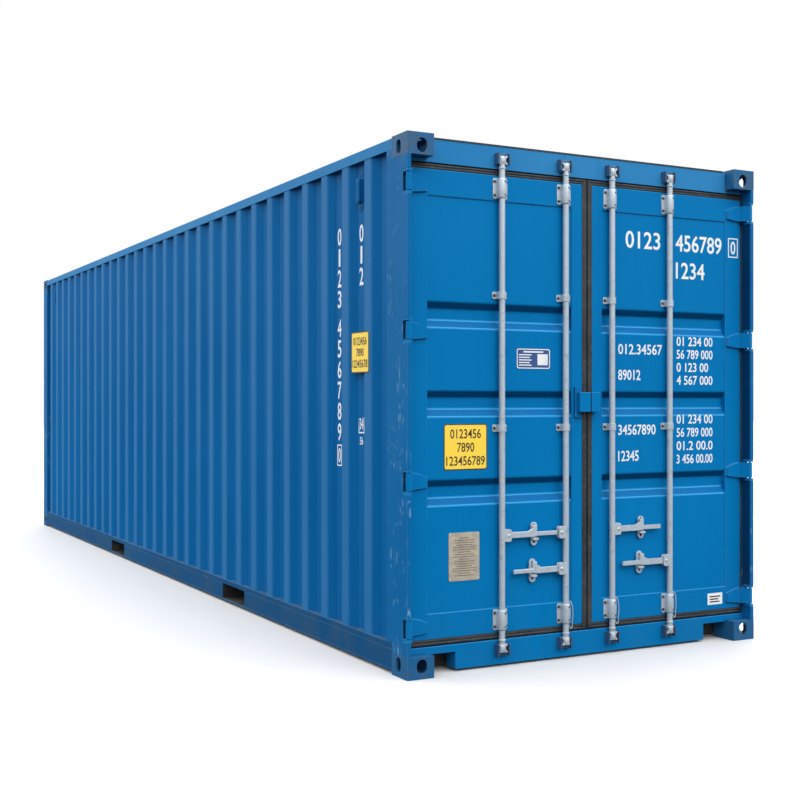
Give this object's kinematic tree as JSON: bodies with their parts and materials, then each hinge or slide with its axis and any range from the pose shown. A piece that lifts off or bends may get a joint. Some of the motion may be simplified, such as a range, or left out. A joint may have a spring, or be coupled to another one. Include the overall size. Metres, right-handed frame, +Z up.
{
  "type": "shipping container",
  "caption": "Long high-cube steel freight container with corrugated walls, fork pockets and hinged end doors closed by lock rods with lifting handles.",
  "frame": {"origin": "centre of the footprint, on the ground under the four bottom castings", "axes": "+Z up, X across the width, Y along the length with the door end facing -Y"},
  "size_m": [2.438, 9.125, 2.896],
  "materials": {
    "casting_steel": "worn painted cast steel",
    "frame_paint": "blue paint, satin, worn",
    "side_paint": "blue paint, satin, weathered",
    "door_paint": "blue paint, satin",
    "under_paint": "dark underbody coating",
    "galvanised": "galvanised, dull",
    "seal_rubber": "matt",
    "floor_wood": "sealed plywood",
    "vent_plastic": "painted",
    "plate_metal": "worn bare plate",
    "pin_steel": "plain"
  },
  "bodies": {
    "container": {"castings_door_end": "casting_steel", "castings_front_end": "casting_steel", "door_post_left": "frame_paint", "door_post_right": "frame_paint", "front_posts": "frame_paint", "door_header": "frame_paint", "door_sill": "frame_paint", "front_rails": "frame_paint", "top_side_rails": "frame_paint", "bottom_rail_tops": "frame_paint", "bottom_rail_webs": "frame_paint", "bottom_rail_feet": "frame_paint", "pocket_cheeks": "frame_paint", "pocket_plates": "frame_paint", "crossmembers": "under_paint", "floor": "floor_wood", "side_panel_left": "side_paint", "side_panel_right": "side_paint", "front_panel": "side_paint", "roof_panel": "side_paint", "side_vents": "vent_plastic", "hinge_lugs": "frame_paint", "hinge_pins": "pin_steel", "cam_keepers": "galvanised"},
    "left_door": {"door_frame_left": "door_paint", "door_panel_left": "door_paint", "door_seal_left": "seal_rubber", "hinge_blades_left": "door_paint", "rod_bearings_left": "galvanised", "handle_catches_left": "galvanised", "lock_cover_left": "door_paint", "lock_bracket": "galvanised", "data_plate": "plate_metal"},
    "right_door": {"door_frame_right": "door_paint", "door_panel_right": "door_paint", "door_seal_right": "seal_rubber", "hinge_blades_right": "door_paint", "rod_bearings_right": "galvanised", "handle_catches_right": "galvanised", "lock_cover_right": "door_paint"},
    "lock_rod_1": {"rod_1": "galvanised"},
    "lift_handle_1": {"handle_1": "galvanised"},
    "lock_rod_2": {"rod_2": "galvanised"},
    "lift_handle_2": {"handle_2": "galvanised"},
    "lock_rod_3": {"rod_3": "galvanised"},
    "lift_handle_3": {"handle_3": "galvanised"},
    "lock_rod_4": {"rod_4": "galvanised"},
    "lift_handle_4": {"handle_4": "galvanised"}
  },
  "joints": [
    {"name": "left_door_hinge", "type": "hinge", "parent": "container", "child": "left_door", "pos_m": [-1.203, -4.5465, 1.456], "axis": [0, 0, -1], "range_deg": [0, 270]},
    {"name": "right_door_hinge", "type": "hinge", "parent": "container", "child": "right_door", "pos_m": [1.203, -4.5465, 1.456], "axis": [0, 0, 1], "range_deg": [0, 270]},
    {"name": "rod_1_turn", "type": "hinge", "parent": "left_door", "child": "lock_rod_1", "pos_m": [-0.596, -4.5105, 0.727], "axis": [0, 0, 1], "range_deg": [-95, 0]},
    {"name": "rod_2_turn", "type": "hinge", "parent": "left_door", "child": "lock_rod_2", "pos_m": [-0.165, -4.5105, 0.521], "axis": [0, 0, -1], "range_deg": [-95, 0]},
    {"name": "rod_3_turn", "type": "hinge", "parent": "right_door", "child": "lock_rod_3", "pos_m": [0.165, -4.5105, 0.727], "axis": [0, 0, 1], "range_deg": [-95, 0]},
    {"name": "rod_4_turn", "type": "hinge", "parent": "right_door", "child": "lock_rod_4", "pos_m": [0.596, -4.5105, 0.521], "axis": [0, 0, -1], "range_deg": [-95, 0]},
    {"name": "handle_1_lift", "type": "hinge", "parent": "lock_rod_1", "child": "lift_handle_1", "pos_m": [-0.558, -4.5105, 0.727], "axis": [0, 1, 0], "range_deg": [-25, 0]},
    {"name": "handle_2_lift", "type": "hinge", "parent": "lock_rod_2", "child": "lift_handle_2", "pos_m": [-0.203, -4.5105, 0.521], "axis": [0, -1, 0], "range_deg": [-25, 0]},
    {"name": "handle_3_lift", "type": "hinge", "parent": "lock_rod_3", "child": "lift_handle_3", "pos_m": [0.203, -4.5105, 0.727], "axis": [0, 1, 0], "range_deg": [-25, 0]},
    {"name": "handle_4_lift", "type": "hinge", "parent": "lock_rod_4", "child": "lift_handle_4", "pos_m": [0.558, -4.5105, 0.521], "axis": [0, -1, 0], "range_deg": [-25, 0]}
  ]
}
